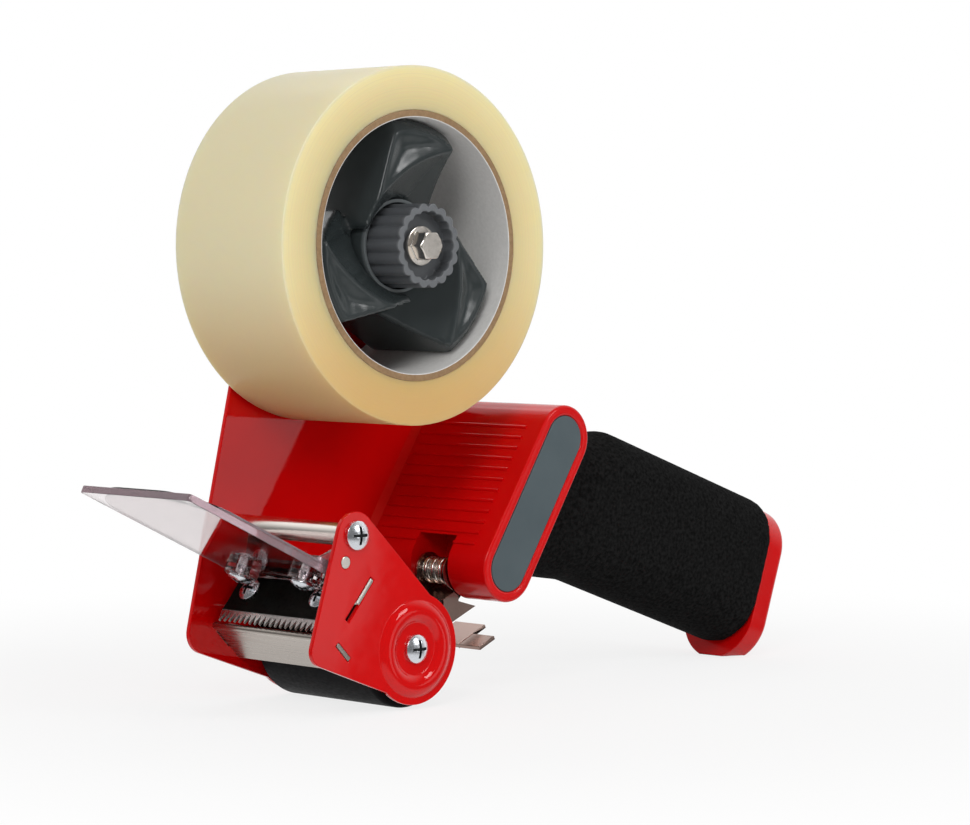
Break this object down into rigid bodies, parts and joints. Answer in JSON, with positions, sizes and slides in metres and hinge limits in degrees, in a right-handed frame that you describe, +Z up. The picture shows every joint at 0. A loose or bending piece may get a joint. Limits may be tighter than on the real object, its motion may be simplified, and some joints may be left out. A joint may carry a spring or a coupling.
{
  "type": "tape dispenser",
  "caption": "Hand-held packing-tape dispenser with loaded tape roll, tension knob, press roller, clear flap that pushes out a toothed blade, anti-rollback lever and foam pistol grip.",
  "frame": {"origin": "on the floor under the middle of the tool's bounding box; the press roller and the foot of the end cap stand on the floor", "axes": "+X runs back from the clear flap to the handle's end cap, -Y is the side with the tension knob, +Z is up"},
  "size_m": [0.2714, 0.0604, 0.1911],
  "materials": {
    "red_paint": "gloss red enamel",
    "red_plastic": "gloss red moulding",
    "grey_inlay": "matte blue-grey",
    "nickel": "bright nickel plate",
    "zinc": "bright zinc plate",
    "black_steel": "satin black",
    "blade_steel": "ground steel",
    "spring_steel": "drawn wire",
    "roller_rubber": "matte dark rubber",
    "dark_plastic": "matte dark grey moulding",
    "knob_plastic": "satin dark grey moulding",
    "foam": "closed-cell foam",
    "clear_plastic": "clear sheet",
    "tape": "wound adhesive film",
    "board": "kraft paper board"
  },
  "bodies": {
    "frame": {"side_plate": "red_paint", "near_cheek": "red_paint", "guide_bar": "nickel", "guide_bar_screws": "zinc", "roller_axle": "zinc", "roller_axle_screws": "zinc", "tape_shield": "nickel", "housing": "red_plastic", "housing_inlay": "grey_inlay", "housing_screws": "zinc", "lever_pin": "zinc", "lever_spring": "spring_steel", "spindle": "zinc", "spindle_nut": "zinc", "grip_core": "dark_plastic", "foam_grip": "foam", "end_cap": "red_plastic", "end_cap_screw": "zinc"},
    "hub": {"hub_wheel": "dark_plastic", "hub_flange": "dark_plastic", "hub_vanes": "dark_plastic"},
    "tape_roll": {"tape_core": "board", "tape_winding": "tape"},
    "tension_knob": {"tension_knob": "knob_plastic", "spindle_bolt": "zinc", "brake_washer": "zinc", "brake_spring": "spring_steel"},
    "press_roller": {"roller_core": "dark_plastic", "roller_sleeve": "roller_rubber"},
    "blade_slider": {"blade_carriage": "nickel", "blade_seat": "black_steel", "cutter_blade": "blade_steel", "blade_screws": "zinc"},
    "flap": {"flap": "clear_plastic", "flap_leaf": "clear_plastic", "flap_bracket": "clear_plastic", "flap_pins": "nickel", "flap_screws": "zinc"},
    "lever": {"rollback_lever": "nickel"}
  },
  "joints": [
    {"name": "hub_spin", "type": "hinge", "parent": "frame", "child": "hub", "pos_m": [-0.04677, 0, 0.1376], "axis": [0, 1, 0], "continuous": true},
    {"name": "roll_off", "type": "slide", "parent": "hub", "child": "tape_roll", "axis": [0, -1, 0], "range_m": [0, 0.055]},
    {"name": "knob_turn", "type": "hinge", "parent": "frame", "child": "tension_knob", "pos_m": [-0.04677, 0, 0.1376], "axis": [0, 1, 0], "range_deg": [-180, 180]},
    {"name": "roller_spin", "type": "hinge", "parent": "frame", "child": "press_roller", "pos_m": [-0.05137, 0, 0.018], "axis": [0, 1, 0], "continuous": true},
    {"name": "flap_swing", "type": "hinge", "parent": "frame", "child": "flap", "pos_m": [-0.07917, 0, 0.0455], "axis": [0, 1, 0], "range_deg": [0, 28], "stiffness_Nm_per_rad": 0.06, "springref_deg": -11.46},
    {"name": "blade_slide", "type": "slide", "parent": "frame", "child": "blade_slider", "axis": [-0.6468, 0, -0.7627], "range_m": [0, 0.0062]},
    {"name": "lever_swing", "type": "hinge", "parent": "frame", "child": "lever", "pos_m": [-0.01977, 0, 0.0378], "axis": [0, 1, 0], "range_deg": [0, 15], "stiffness_Nm_per_rad": 0.05, "springref_deg": -11.46}
  ],
  "couplings": [
    {"joint": "blade_slide", "follows": "flap_swing", "m_per_rad": 0.01227}
  ]
}
